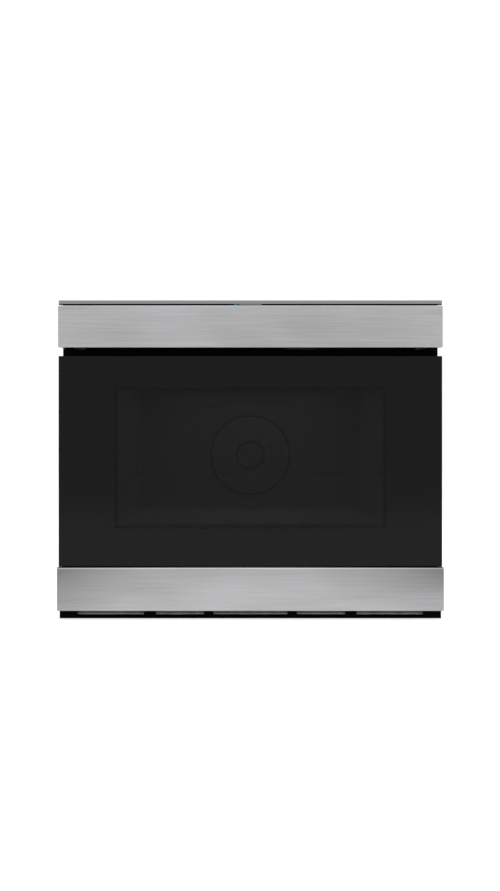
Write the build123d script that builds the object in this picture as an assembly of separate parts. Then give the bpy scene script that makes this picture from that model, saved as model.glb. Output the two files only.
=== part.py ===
from build123d import *
from math import atan2, cos, degrees, pi, radians, sin, sqrt, tan
import os

# Built-in microwave drawer for a 24 in cabinet: a fixed oven case, a tub that rides out on the
# door, and a control panel that tips forward above it.
# Millimetres. X is the width, -Y the front, +Z up. The origin is under the middle of the case.

# ---------------------------------------------------------------- driving dimensions
front_width = 606.4         # stainless strip along the bottom of the door
door_depth = 39.0           # front of that strip to the cabinet face
case_depth = 551.0          # cabinet face to the outside of the back panel
flange_overlap = 24.2       # the front reaches this far past the case on each side
rear_space = 143.0          # behind the cavity, for the fan, source and transformer
gland_reach = 4.0           # cord gland behind the back panel

vent_height = 13.5          # the front, from the floor up
vent_gap = 1.0
strip_height = 68.0
door_glass_height = 332.7
recess_height = 13.2
fascia_height = 66.4
fascia_gap = 2.7
trim_height = 5.8

strip_to_glass = 10.0       # how far the door glass stands behind the strip
strip_to_fascia = 8.0
strip_to_vent = 17.0
glass_inset = 0.4           # each side, from the strip's end
fascia_inset = 0.1
trim_inset = 0.8
flange_inset = 1.9
vent_inset = 0.4

flange_sheet = 1.5
case_sheet = 0.8
base_sheet = 1.2
fascia_sheet = 1.2
cavity_sheet = 1.0
bend_radius = 1.5
running_gap = 0.3           # between parts that pass or locate each other
pin_clearance = 0.05        # radial, shaft in its hole

side_space = 46.0           # wrapper to cavity, for the slides and interlocks
under_space = 131.0         # floor to the underside of the cavity
cavity_under_recess = 23.0  # cavity ceiling below the top of the door glass
tub_side_gap = 9.0
tub_under_gap = 8.0
tub_top_gap = 7.0
tub_rear_gap = 14.0
frame_lip = 4.0             # front frame overlaps the cavity's open edge by this much
floor_plate_thickness = 6.0

panel_pivot_back = 12.0     # pivot behind the fascia's front
panel_pivot_up = 1.6        # pivot above the fascia's lower edge
panel_sweep = 66.0          # radius of the housing's back
panel_glass_thickness = 3.0
panel_slope = 17.0          # fall of the touch glass towards the back, degrees
panel_side_gap = 30.0
hinge_pin_radius = 3.0
hinge_boss_radius = 6.0

slide_overlap = 75.0        # length that the slides keep in one another when fully out
slide_overrun = 47.0        # the slides reach this far behind the cavity's back wall
slide_height = 40.0
slide_width = 13.0
slide_sheet = 1.5
slide_floor = 76.0          # underside of the slides above the floor

rack_module = 2.5
pinion_teeth = 14
pressure_angle = 20.0
tooth_backlash = 0.4
rack_addendum = 2.0         # short, so that its tips clear the roots of a small pinion
rack_width = 14.0
pinion_shaft_radius = 5.0

magnetron_size = (96.0, 80.0, 84.0)
transformer_size = (106.0, 84.0, 72.0)
motor_can_radius = 16.0
fan_cover_radius = 82.0
screw_radius = 2.25         # the four screws through the flange
screw_head_radius = 4.0
screw_head_height = 2.4

# ---------------------------------------------------------------- levels that follow
overall_depth = door_depth + case_depth + gland_reach
y_front = -overall_depth / 2
y_cabinet = y_front + door_depth
y_back = y_cabinet + case_depth
y_frame = y_cabinet - flange_sheet
y_glass = y_front + strip_to_glass
y_fascia = y_front + strip_to_fascia
y_vent = y_front + strip_to_vent

z_strip = vent_height + vent_gap
z_glass = z_strip + strip_height
z_recess = z_glass + door_glass_height
z_fascia = z_recess + recess_height
z_fascia_top = z_fascia + fascia_height
z_trim = z_fascia_top + fascia_gap
z_top = z_trim + trim_height
z_case_top = z_trim - 0.5

half_front = front_width / 2
half_case = half_front - flange_overlap
half_flange = half_front - flange_inset
half_glass = half_front - glass_inset
half_fascia = half_front - fascia_inset

half_cavity = half_case - side_space - cavity_sheet         # inner faces
z_cavity = under_space + cavity_sheet
z_cavity_top = z_recess - cavity_under_recess
y_cavity_rear = y_back - rear_space
mouth_half = half_cavity + frame_lip
mouth_bottom = z_cavity + 6.0
mouth_top = z_cavity_top + frame_lip

half_tub = half_cavity - tub_side_gap                       # outer faces
z_tub = z_cavity + tub_under_gap
z_tub_top = z_cavity_top - tub_top_gap
y_tub_rear = y_cavity_rear - tub_rear_gap
tub_sheet = 1.0
z_fan = (z_tub + z_cavity_top) / 2 - 12.0

slide_length = y_cavity_rear + slide_overrun - y_cabinet
travel = slide_length - slide_overlap
x_slide = half_case - 6.0                                   # outer face of the outer members
z_slide_top = slide_floor + slide_height
slot_floor = slide_floor - 2.0
slot_top = z_slide_top + 2.0
half_slot = x_slide + 2.0

y_pivot = y_fascia + panel_pivot_back
z_pivot = z_fascia + panel_pivot_up
half_panel = half_fascia - panel_side_gap


# ---------------------------------------------------------------- helpers
def block(x0, x1, y0, y1, z0, z1):
    """A plain block between two corners."""
    return Pos((x0 + x1) / 2, (y0 + y1) / 2, (z0 + z1) / 2) * Box(x1 - x0, y1 - y0, z1 - z0)


def along_x(outline, x0, x1):
    """An outline in (Y, Z), drawn out from x0 to x1."""
    return extrude(Plane.YZ.offset(x0) * outline, amount=x1 - x0)


def along_y(outline, y0, y1):
    """An outline in (X, Z), drawn out from y0 to y1."""
    return extrude(Plane.XZ.offset(-y1) * outline, amount=y1 - y0)


def along_z(outline, z0, z1):
    """An outline in (X, Y), drawn out from z0 to z1."""
    return extrude(Plane.XY.offset(z0) * outline, amount=z1 - z0)


def rod_x(x0, x1, y, z, radius):
    return along_x(Pos(y, z) * Circle(radius), x0, x1)


def rod_y(x, y0, y1, z, radius):
    return along_y(Pos(x, z) * Circle(radius), y0, y1)


def rod_z(x, y, z0, z1, radius):
    return along_z(Pos(x, y) * Circle(radius), z0, z1)


def span(a0, a1, b0, b1, radius=0.0):
    """A rectangle between two corners, with rounded corners where a radius is given."""
    size = (a1 - a0, b1 - b0)
    shape = RectangleRounded(*size, radius) if radius else Rectangle(*size)
    return Pos((a0 + a1) / 2, (b0 + b1) / 2) * shape


def bent(points, thickness, radius=bend_radius, side=Side.LEFT):
    """The section of one sheet folded along points, its thickness laid to one side of them."""
    line = FilletPolyline(*points, radius=radius).wires()[0]
    return make_face(line.offset_2d(thickness, side=side).edges())


def both_sides(shape):
    """A right-hand solid and its mirror image on the left."""
    return [shape, mirror(shape, about=Plane.YZ)]


def pattern(places, outline):
    """One outline repeated at every place, as a single sketch."""
    return Sketch() + [place * outline for place in places]


def group(*solids):
    """Separate solids kept together in one node."""
    flat = []
    for item in solids:
        flat.extend(item if isinstance(item, list) else [item])
    return Compound(children=flat)


nodes = {}

# ---------------------------------------------------------------- case: sheet metal shell
base_flange = 16.0
half_base = half_case - case_sheet
through = 5.0                       # how far a cutting tool stands out on each side of a sheet
slot_width, slot_pitch = 6.0, 15.0
louvre_length, louvre_drop = 80.0, 75.0
base = along_y(bent([(-half_base, base_flange), (-half_base, 0), (half_base, 0), (half_base, base_flange)],
                    base_sheet), y_cabinet, y_back - case_sheet)
intake_length = louvre_length * 0.75
for side_x in (-half_case / 2, half_case / 2):
    slots = pattern(GridLocations(2 * slot_pitch, 0.0, 6, 1), Rectangle(slot_width, intake_length))
    base -= along_z(Pos(side_x, y_cavity_rear) * slots, -through, through)
nodes["base_plate"] = base

wrapper = along_y(bent([(-half_case, base_sheet), (-half_case, z_case_top), (half_case, z_case_top),
                        (half_case, base_sheet)], case_sheet, side=Side.RIGHT),
                  y_cabinet, y_back - case_sheet)
side_slots = pattern(GridLocations(slot_pitch, 0.0, 7, 1), Rectangle(slot_width, louvre_length))
side_slots = Pos(y_back - rear_space / 2 - slot_pitch, z_case_top - louvre_drop) * side_slots
wrapper -= along_x(side_slots, -half_case - through, half_case + through)
nodes["outer_wrapper"] = wrapper

gland_hole, gland_rim, gland_neck, cord_hole = 9.0, 3.5, 14.0, 4.0
gland_inset = 60.0
gland_x, gland_z = -half_case + gland_inset, gland_inset
back = along_y(span(-half_case, half_case, 0.0, z_case_top, bend_radius), y_back - case_sheet, y_back)
vent_rows = pattern(GridLocations(slot_pitch, 0.0, 9, 1), Rectangle(slot_width, louvre_length))
intake_row = pattern(GridLocations(slot_pitch, 0.0, 9, 1), Rectangle(slot_width, louvre_length / 2))
louvres = Pos(half_case / 2, z_case_top - louvre_drop) * vent_rows + Pos(0.0, gland_z) * intake_row
back -= along_y(louvres, y_back - through, y_back + through)
back -= rod_y(gland_x, y_back - through, y_back + through, gland_z, gland_hole)
nodes["back_panel"] = back

gland = rod_y(gland_x, y_back, y_back + gland_reach, gland_z, gland_hole + gland_rim)
gland = chamfer(gland.edges().group_by(Axis.Y)[-1], gland_reach / 3)
gland += rod_y(gland_x, y_back - gland_neck, y_back, gland_z, gland_hole - running_gap)
gland -= rod_y(gland_x, y_back - 2 * gland_neck, y_back + 2 * gland_reach, gland_z, cord_hole)
nodes["cord_gland"] = gland

# ---------------------------------------------------------------- front frame and what it carries
# five vent openings, given by their edges from the middle out to the ends
vent_rib, vent_middle_half, vent_next, vent_end_rib, vent_end_margin = 14.5, 59.0, 77.0, 18.0, 5.0
vent_lip, vent_wall = 3.3, 1.2
next_start = vent_middle_half + vent_rib
end_start = next_start + vent_next + vent_end_rib
vent_spans = [(-vent_middle_half, vent_middle_half), (next_start, next_start + vent_next),
              (-next_start - vent_next, -next_start), (end_start, half_case - vent_end_margin),
              (-half_case + vent_end_margin, -end_start)]
trim_sheet = 1.2
z_frame_top = z_top - trim_sheet
panel_gap = 1.5                     # sideways, panel housing in the frame and in its hinges
panel_mouth = span(-half_panel - panel_gap, half_panel + panel_gap, z_pivot - 2.0, z_trim - 2.5)
hook_offset = 20.0                  # latch hooks, out from the cavity's inside
hook_x = half_cavity + hook_offset
hook_z = (z_glass + z_recess) / 2
hook_slot = (8.0, 26.0)
screw_margin = 10.0                 # flange screws, in from the flange's edge
screw_x = half_flange - screw_margin
screw_z = (z_glass - 2 * screw_margin, z_recess - 3.5 * screw_margin)

frame_face = span(-half_flange, half_flange, 0.0, z_frame_top, bend_radius)
frame_face -= span(-mouth_half, mouth_half, mouth_bottom, mouth_top, 10.0)
frame_face -= span(-half_slot, half_slot, slot_floor, slot_top)
frame_face -= panel_mouth
for left, right in vent_spans:
    frame_face -= span(left, right, vent_lip, vent_height - vent_wall)
for sign in (-1, 1):
    frame_face -= Pos(sign * hook_x, hook_z) * Rectangle(*hook_slot)
    for level in screw_z:
        frame_face -= Pos(sign * screw_x, level) * Circle(screw_radius)
nodes["front_frame"] = along_y(frame_face, y_frame, y_cabinet)

half_trim = half_front - trim_inset
y_trim = y_front + strip_to_glass
trim = along_x(bent([(y_trim, z_trim), (y_trim, z_top), (y_cabinet, z_top)], trim_sheet, side=Side.RIGHT),
               -half_trim, half_trim)
light_x, light_width, light_depth = -23.0, 6.0, 5.0
tab_half, tab_drop, tab_sheet = 18.0, 1.4, 1.0
y_tab = y_trim + trim_sheet
trim += block(-tab_half, tab_half, y_tab, y_tab + tab_sheet, z_trim - tab_drop, z_frame_top)
nodes["top_trim"] = trim
light_y = y_tab + running_gap
light = block(light_x - light_width / 2, light_x + light_width / 2, light_y, light_y + light_depth,
              z_trim - tab_drop, z_frame_top)
nodes["status_light"] = chamfer(light.edges().filter_by(Axis.Z), light_width / 8)

# black rubber strip under the trim, open at the light and the tab, clear of the panel's sweep
seal_back, seal_margin = y_trim + 2.5 * trim_sheet, 2.0
z_seal = z_pivot + sqrt(panel_sweep ** 2 - (y_pivot - seal_back) ** 2) + running_gap
seal = block(tab_half + seal_margin, half_trim, y_trim + 0.5 * trim_sheet, seal_back, z_seal, z_trim)
seal_left = block(-half_trim, light_x - light_width / 2 - seal_margin, y_trim + 0.5 * trim_sheet, seal_back,
                  z_seal, z_trim)
nodes["trim_seal"] = group(seal, seal_left)

half_vent = half_front - vent_inset
grille = block(-half_vent, half_vent, y_vent, y_frame, 0.0, vent_height)
grille = fillet(grille.edges().filter_by(Axis.Z).group_by(Axis.Y)[0], bend_radius)
vent_ceiling, vent_front, vent_end = vent_height - vent_wall, 2.0, 1.8
grille -= block(-half_vent + vent_end, half_vent - vent_end, y_vent + vent_front, y_frame + through,
                vent_wall, vent_ceiling)
for left, right in vent_spans:
    grille -= along_y(span(left, right, vent_lip, vent_ceiling), y_vent - through, y_vent + through)
nodes["vent_grille"] = grille

# air guide: an angle under the grille's ceiling; the air leaves below its front edge
guide_setback, guide_drop, guide_sheet, guide_margin = 6.0, 7.2, 0.8, 2.0
y_guide, guide_half = y_vent + guide_setback, half_case - guide_margin
guide = bent([(y_frame, vent_ceiling), (y_guide, vent_ceiling), (y_guide, vent_ceiling - guide_drop)],
             guide_sheet, radius=guide_sheet)
nodes["exhaust_duct"] = along_x(guide, -guide_half, guide_half)

# ---------------------------------------------------------------- oven cavity
cavity_corner = 12.0
cavity_flange = 11.0
stirrer_hole, lamp_hole = 78.0, 18.0
stirrer_inset, lamp_inset, lamp_drop = 150.0, 90.0, 50.0
stirrer_y = y_cavity_rear - stirrer_inset
lamp_y, lamp_z = y_cavity_rear - lamp_inset, z_cavity_top - lamp_drop
fan_inlet = fan_cover_radius - 10.0
outer = span(-half_cavity - cavity_sheet, half_cavity + cavity_sheet, z_cavity - cavity_sheet,
             z_cavity_top + cavity_sheet, cavity_corner + cavity_sheet)
inner = span(-half_cavity, half_cavity, z_cavity, z_cavity_top, cavity_corner)
lip = span(-half_cavity - cavity_flange, half_cavity + cavity_flange, z_cavity - cavity_flange,
           z_cavity_top + cavity_flange, cavity_corner)
cavity = along_y(outer, y_cabinet, y_cavity_rear + cavity_sheet)
cavity += along_y(lip, y_cabinet, y_cabinet + cavity_sheet)
cavity -= along_y(inner, y_cabinet - through, y_cavity_rear)
cavity -= rod_y(0.0, y_cavity_rear - through, y_cavity_rear + through, z_fan, fan_inlet)
cavity -= rod_z(0.0, stirrer_y, z_cavity_top - through, z_cavity_top + through, stirrer_hole)
cavity -= rod_x(half_cavity - through, half_cavity + through, lamp_y, lamp_z, lamp_hole)
nodes["oven_cavity"] = cavity
nodes["stirrer_cover"] = rod_z(0.0, stirrer_y, z_cavity_top, z_cavity_top + cavity_sheet,
                               stirrer_hole - running_gap)


def cylinder_shell(radius, depth, flange, mouth, sheet):
    """A pressed round pan, open below, with a flange at its rim and a round mouth in its top."""
    section = Polyline((radius + flange, 0.0), (radius + flange, sheet), (radius + sheet, sheet),
                       (radius + sheet, depth + sheet), (mouth, depth + sheet), (mouth, depth),
                       (radius, depth), (radius, 0.0), close=True)
    return revolve(Plane.XZ * make_face(section), Axis.Z)


# dish over the stirrer, with the waveguide welded on top of it
z_ceiling = z_cavity_top + cavity_sheet
dish_depth, dish_flange, guide_height, guide_half, guide_overhang = 14.0, 10.0, 36.0, 42.0, 36.0
z_dish = z_ceiling + dish_depth
z_guide = z_dish + guide_height
guide_front, guide_rear = stirrer_y - guide_half, y_cavity_rear + guide_overhang
guide_mouth = 30.0
antenna_shaft, antenna_cap = 4.0, 8.0
magnetron_z = (z_dish + z_guide) / 2
dish = cylinder_shell(stirrer_hole, dish_depth, dish_flange, guide_mouth, cavity_sheet)
guide = block(-guide_half, guide_half, guide_front, guide_rear, z_dish, z_guide)
guide -= block(-guide_half + cavity_sheet, guide_half - cavity_sheet, guide_front + cavity_sheet,
               guide_rear - cavity_sheet, z_dish + cavity_sheet, z_guide - cavity_sheet)
guide += Pos(0.0, stirrer_y, z_ceiling) * dish
guide -= rod_z(0.0, stirrer_y, z_dish - through, z_dish + through, guide_mouth)
guide -= rod_z(0.0, stirrer_y, z_guide - through, z_guide + through, antenna_shaft + pin_clearance)
guide -= rod_y(0.0, guide_rear - through, guide_rear + through, magnetron_z, antenna_cap + running_gap)
nodes["waveguide"] = guide

# ---------------------------------------------------------------- microwave source, above and behind
magnet_width, magnet_depth, magnet_height = magnetron_size
yoke_sheet, fin_count, fin_sheet, fin_pitch = 1.5, 4, 1.0, 10.0
yoke_inset, yoke_radius = 6.0, 3.0
magnetron_front = guide_rear
magnetron_rear = guide_rear + magnet_depth
half_magnet = magnet_width / 2
half_tall = magnet_height / 2
inner_half = half_magnet - yoke_sheet
inner_tall = half_tall - yoke_sheet
tube_radius, collar_radius, collar_length, antenna_reach = 19.0, 27.0, 8.0, 14.0
yoke = span(-half_magnet, half_magnet, -half_tall, half_tall, yoke_radius)
yoke -= span(-inner_half, inner_half, -inner_tall, inner_tall, yoke_radius - yoke_sheet)
magnetron = along_y(Pos(0.0, magnetron_z) * yoke, magnetron_front + yoke_inset, magnetron_rear)
y_filter = magnetron_rear - yoke_inset
magnetron += rod_y(0.0, magnetron_front - antenna_reach, y_filter, magnetron_z, antenna_cap)
for radius, end in ((collar_radius, magnetron_front + collar_length), (tube_radius, y_filter)):
    magnetron += along_y(Pos(0.0, magnetron_z) * RegularPolygon(radius, 12), magnetron_front, end)
fin_outline = Pos(0.0, magnetron_z) * Rectangle(2 * inner_half, 2 * collar_radius)
for step in range(fin_count):
    fin_y = magnetron_front + 2 * collar_length + step * fin_pitch
    magnetron += along_y(fin_outline, fin_y, fin_y + fin_sheet)
filter_plate = Pos(0.0, magnetron_z) * Rectangle(2 * inner_half, 2 * tube_radius)
magnetron += along_y(filter_plate, y_filter - yoke_sheet, y_filter)
nodes["magnetron"] = magnetron

motor_seat, motor_radius, motor_height, ear_length, ear_width, ear_sheet = 6.0, 25.0, 18.0, 70.0, 14.0, 1.2
motor_bore_top = z_guide + motor_height - motor_seat
stirrer_motor = rod_z(0.0, stirrer_y, z_guide, z_guide + motor_height, motor_radius)
ears = Pos(0.0, stirrer_y) * SlotOverall(ear_length, ear_width)
stirrer_motor += along_z(ears, z_guide, z_guide + ear_sheet)
stirrer_motor -= rod_z(0.0, stirrer_y, z_guide - through, motor_bore_top, antenna_shaft + pin_clearance)
nodes["stirrer_motor"] = stirrer_motor

antenna_radius, antenna_sheet, antenna_rise, antenna_windows = 68.0, 1.5, 5.0, 3
antenna_window, window_place = (28.0, 40.0), 0.72
antenna_z = z_ceiling + antenna_rise
antenna = Circle(antenna_radius)
for place in PolarLocations(antenna_radius * window_place, antenna_windows, start_angle=30.0):
    antenna -= place * Rectangle(*antenna_window)
stirrer = along_z(Pos(0.0, stirrer_y) * antenna, antenna_z, antenna_z + antenna_sheet)
stirrer += rod_z(0.0, stirrer_y, antenna_z, motor_bore_top - running_gap, antenna_shaft)
nodes["stirrer_antenna"] = stirrer

fan_inset, fan_length, fan_frame, fan_duct_gap = 129.0, 32.0, 4.0, 1.5
fan_x = half_case - fan_inset
fan_y = (guide_rear + magnetron_rear) / 2
fan_axle, fan_reach, fan_motor_radius, fan_motor_length = 3.0, 40.0, 18.0, 26.0
spoke_width, spoke_depth = 5.0, 4.0
fan_square = fan_reach + fan_duct_gap + fan_frame
fan_rear = fan_x + fan_length
fan_outline = span(fan_y - fan_square, y_back - case_sheet, magnetron_z - fan_square,
                   magnetron_z + fan_square)
fan_outline -= Pos(fan_y, magnetron_z) * Circle(fan_reach + fan_duct_gap)
housing = along_x(fan_outline, fan_x, fan_rear)
spoke_length = 2 * fan_square - fan_frame
spokes = Rectangle(spoke_length, spoke_width) + Rectangle(spoke_width, spoke_length)
housing += along_x(Pos(fan_y, magnetron_z) * spokes, fan_rear - spoke_depth, fan_rear)
housing += rod_x(fan_rear - spoke_depth, fan_rear + fan_motor_length, fan_y, magnetron_z, fan_motor_radius)
housing -= rod_x(fan_x - through, fan_rear + fan_motor_length / 2, fan_y, magnetron_z,
                 fan_axle + pin_clearance)
nodes["cooling_fan_housing"] = housing

# sheet blades set at a slant round a hub
fan_blades, blade_pitch, fan_hub, blade_sheet, blade_width, blade_root = 5, 38.0, 13.0, 1.2, 22.0, 3.0
wheel_front, wheel_rear = fan_x + spoke_depth, fan_rear - 1.5 * spoke_depth
wheel_middle = (wheel_front + wheel_rear) / 2
blade_length = fan_reach - fan_hub + blade_root
wheel = rod_x(wheel_front, wheel_rear, 0.0, 0.0, fan_hub)
for turn in range(fan_blades):
    blade = Rot(0, 0, blade_pitch) * Box(blade_sheet, blade_width, blade_length)
    blade = Pos(wheel_middle, 0.0, fan_hub - blade_root + blade_length / 2) * blade
    wheel += Rot(360.0 / fan_blades * turn, 0, 0) * blade
wheel = wheel & rod_x(fan_x, fan_rear, 0.0, 0.0, fan_reach)
wheel += rod_x(wheel_front, fan_rear + fan_motor_length / 2 - running_gap, 0.0, 0.0, fan_axle)
nodes["cooling_fan_wheel"] = Pos(0.0, fan_y, magnetron_z) * wheel

# ---------------------------------------------------------------- convection fan behind the cavity
chamber_y = y_cavity_rear + cavity_sheet
chamber_depth, chamber_radius, chamber_flange, chamber_sheet = 44.0, 100.0, 12.0, 1.0
chamber_back = chamber_y + chamber_depth
convection_shaft, element_ring, element_tube, terminal_x = 4.0, 84.0, 4.0, 14.0
chamber = cylinder_shell(chamber_radius, chamber_depth - chamber_sheet, chamber_flange,
                         convection_shaft + pin_clearance, chamber_sheet)
chamber = Pos(0.0, chamber_y, z_fan) * Rot(-90, 0, 0) * chamber
for x in (-terminal_x, terminal_x):
    chamber -= rod_y(x, chamber_back - through, chamber_back + through, z_fan + element_ring,
                     element_tube + running_gap)
nodes["convection_chamber"] = chamber

# tubular element bent into an open ring, its two ends turned back through the chamber
element_y, terminal_reach = chamber_back - 3 * element_tube, 14.0
tube_section = Plane.XZ * Pos(element_ring, 0.0) * RegularPolygon(element_tube, 6)
ring = Pos(0.0, element_y, z_fan) * Rot(90, 0, 0) * revolve(tube_section, Axis.Z)
ring -= block(-terminal_x, terminal_x, element_y - 2 * element_tube, element_y + 2 * element_tube,
              z_fan + chamber_radius - 8 * element_tube, z_fan + chamber_radius)
for x in (-terminal_x, terminal_x):
    ring += rod_y(x, element_y - element_tube, chamber_back + terminal_reach, z_fan + element_ring,
                  element_tube)
nodes["heating_element"] = ring

vane_count, vane_depth, vane_sheet, vane_lean = 8, 22.0, 1.0, 16.0
vane_outer, vane_inner, hub_radius = 66.0, 26.0, 11.0
wheel_y = chamber_y + 8.0
wheel_disc_y = wheel_y + vane_depth
motor_bore = 24.5
fan = rod_y(0.0, wheel_disc_y, wheel_disc_y + vane_sheet, 0.0, vane_outer - vane_sheet)
for turn in range(vane_count):
    vane = block(-vane_sheet / 2, vane_sheet / 2, wheel_y, wheel_disc_y, vane_inner, vane_outer)
    fan += Rot(0, 360.0 / vane_count * turn, 0) * Rot(0, vane_lean, 0) * Pos(6.0, 0, 0) * vane
fan += rod_y(0.0, wheel_y + vane_depth / 2, chamber_back + motor_bore - running_gap, 0.0, convection_shaft)
fan += rod_y(0.0, wheel_y + vane_depth / 2, wheel_disc_y + vane_sheet, 0.0, hub_radius)
nodes["convection_fan_wheel"] = Pos(0.0, 0.0, z_fan) * fan

can_radius, can_length, can_flange, can_ear_length, can_ear_width = 32.0, 52.0, 1.5, 96.0, 18.0
convection_motor = rod_y(0.0, chamber_back, chamber_back + can_length, z_fan, can_radius)
convection_motor = chamfer(convection_motor.edges().group_by(Axis.Y)[-1], 2 * can_flange)
ears = Pos(0.0, z_fan) * SlotOverall(can_ear_length, can_ear_width)
convection_motor += along_y(ears, chamber_back, chamber_back + can_flange)
convection_motor -= rod_y(0.0, chamber_back - through, chamber_back + motor_bore, z_fan,
                          convection_shaft + pin_clearance)
nodes["convection_motor"] = convection_motor

lamp_seat = half_cavity + cavity_sheet
lamp_rim, lamp_rim_sheet, lamp_depth, lamp_body = 6.0, 1.0, 30.0, 22.0
lamp = rod_x(half_cavity, lamp_seat + lamp_depth / 2, lamp_y, lamp_z, lamp_hole - running_gap)
lamp += rod_x(lamp_seat, lamp_seat + lamp_rim_sheet, lamp_y, lamp_z, lamp_hole + lamp_rim)
lamp += along_x(Pos(lamp_y, lamp_z) * Rectangle(lamp_body, lamp_body), lamp_seat, lamp_seat + lamp_depth)
nodes["oven_lamp"] = lamp

# ---------------------------------------------------------------- high-voltage and control parts
core_width, core_depth, core_height = transformer_size
core_shift, core_inset, filter_inset = 10.0, 90.0, 70.0
core_x, core_y = -half_case / 2 - core_shift, y_back - core_inset
leg = core_width / 6
coil_gap, coil_overhang, coil_radius = 1.0, 16.0, 12.0
foot_reach, foot_width, foot_sheet = 10.0, 24.0, 2.0
stack_half = core_depth / 2 - coil_overhang
core = along_y(span(-3 * leg, 3 * leg, 0.0, core_height), -stack_half, stack_half)
for sign in (-1, 1):
    core -= along_y(Pos(sign * 2 * leg, core_height / 2) * Rectangle(leg, core_height - 2 * leg),
                    -stack_half - through, stack_half + through)
coil = RectangleRounded(4 * leg - coil_gap, core_depth, coil_radius) - Rectangle(leg, 2 * stack_half)
core += along_z(coil, leg + coil_gap, core_height - leg - coil_gap)
core += along_z(Rectangle(core_width + 2 * foot_reach, foot_width), 0.0, foot_sheet)
nodes["hv_transformer"] = Pos(core_x, core_y, base_sheet) * core

# oval can held by a strap with two feet, two blade terminals on its top
capacitor_gap = 50.0
capacitor_x = core_x + core_width / 2 + capacitor_gap
can_size, strap_size, can_height, strap_low, strap_high = (54.0, 32.0), (58.0, 36.0), 78.0, 30.0, 42.0
lug_offset, lug_width, lug_sheet, lug_height = 12.0, 6.4, 0.8, 10.0
can = along_z(SlotOverall(*can_size, rotation=90), 0.0, can_height)
can += along_z(SlotOverall(*strap_size, rotation=90), strap_low, strap_high)
can += along_z(Rectangle(strap_size[0], strap_size[1] / 2), 0.0, ear_sheet)
for sign in (-1, 1):
    lug = Pos(0.0, sign * lug_offset) * Rectangle(lug_width, lug_sheet)
    can += along_z(lug, can_height, can_height + lug_height)
nodes["hv_capacitor"] = Pos(capacitor_x, core_y, base_sheet) * can

board_sheet, board_stand, post_radius, board_margin = 1.6, 8.0, 3.5, 7.0
board_width, board_depth, board_space = 120.0, 150.0, 20.0
board_x = -half_cavity + board_width / 2 + board_space
board_y = y_cavity_rear - board_depth / 2 - board_space
board_top = board_stand + board_sheet
relay_width, relay_depth, relay_height, relay_y, relay_pitch = 18.0, 24.0, 18.0, -48.0, 24.0
bulk_radius, bulk_height, bulk_pitch = 9.0, 24.0, 26.0
sink_depth, sink_height, sink_foot, sink_pitch, sink_x, sink_y = 56.0, 26.0, 3.0, 7.0, -25.0, 32.0
board = along_z(Rectangle(board_width, board_depth), board_stand, board_top)
posts = pattern(GridLocations(board_width - 2 * board_margin, board_depth - 2 * board_margin, 2, 2),
                RegularPolygon(post_radius, 6))
board += along_z(posts, 0.0, board_stand)
relays = pattern(GridLocations(relay_pitch, 0.0, 4, 1), Rectangle(relay_width, relay_depth))
board += along_z(Pos(0.0, relay_y) * relays, board_top, board_top + relay_height)
bulk_cans = pattern(GridLocations(bulk_pitch, 0.0, 2, 1), Circle(bulk_radius))
board += along_z(Pos(bulk_pitch, bulk_pitch) * bulk_cans, board_top, board_top + bulk_height)
fins = pattern(GridLocations(sink_pitch, 0.0, 6, 1), Rectangle(2.0, sink_depth))
board += along_z(Pos(sink_x, sink_y) * fins, board_top, board_top + sink_height)
sink_base = Pos(sink_x, sink_y) * Rectangle(6 * sink_pitch, sink_depth)
board += along_z(sink_base, board_top, board_top + sink_foot)
nodes["power_board"] = Pos(board_x, board_y, z_ceiling) * board

filter_x, filter_y = half_case / 2 + 2 * core_shift, y_back - filter_inset
filter_width, filter_depth, filter_stand = 76.0, 52.0, 6.0
winding_outer, winding_inner, winding_height, film_size = 17.0, 6.0, 12.0, (26.0, 24.0)
filter_top = filter_stand + board_sheet
line_filter = along_z(Rectangle(filter_width, filter_depth), filter_stand, filter_top)
posts = GridLocations(filter_width - 2 * board_margin, filter_depth - 2 * board_margin, 2, 2)
posts = pattern(posts, RegularPolygon(post_radius, 6))
line_filter += along_z(posts, 0.0, filter_stand)
winding = Circle(winding_outer) - Circle(winding_inner)
line_filter += along_z(Pos(-winding_outer, 0.0) * winding, filter_top, filter_top + winding_height)
film_capacitor = Pos(winding_outer, 0.0) * Rectangle(*film_size)
line_filter += along_z(film_capacitor, filter_top, filter_top + bulk_height)
nodes["noise_filter"] = Pos(filter_x, filter_y, base_sheet) * line_filter

# ---------------------------------------------------------------- telescopic slides
z_slide = slide_floor + slide_height / 2
slide_setback = 3.0
slide_front = y_cabinet + slide_setback
slide_rear = slide_front + slide_length
race = slide_sheet + running_gap


def channel(mouth_x, web_x, half_height):
    """Section of one slide member: a channel whose web stands at web_x and mouth at mouth_x."""
    side = Side.RIGHT if web_x > mouth_x else Side.LEFT
    corners = [(mouth_x, z_slide + half_height), (web_x, z_slide + half_height),
               (web_x, z_slide - half_height), (mouth_x, z_slide - half_height)]
    return bent(corners, slide_sheet, radius=2.0, side=side)


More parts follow.
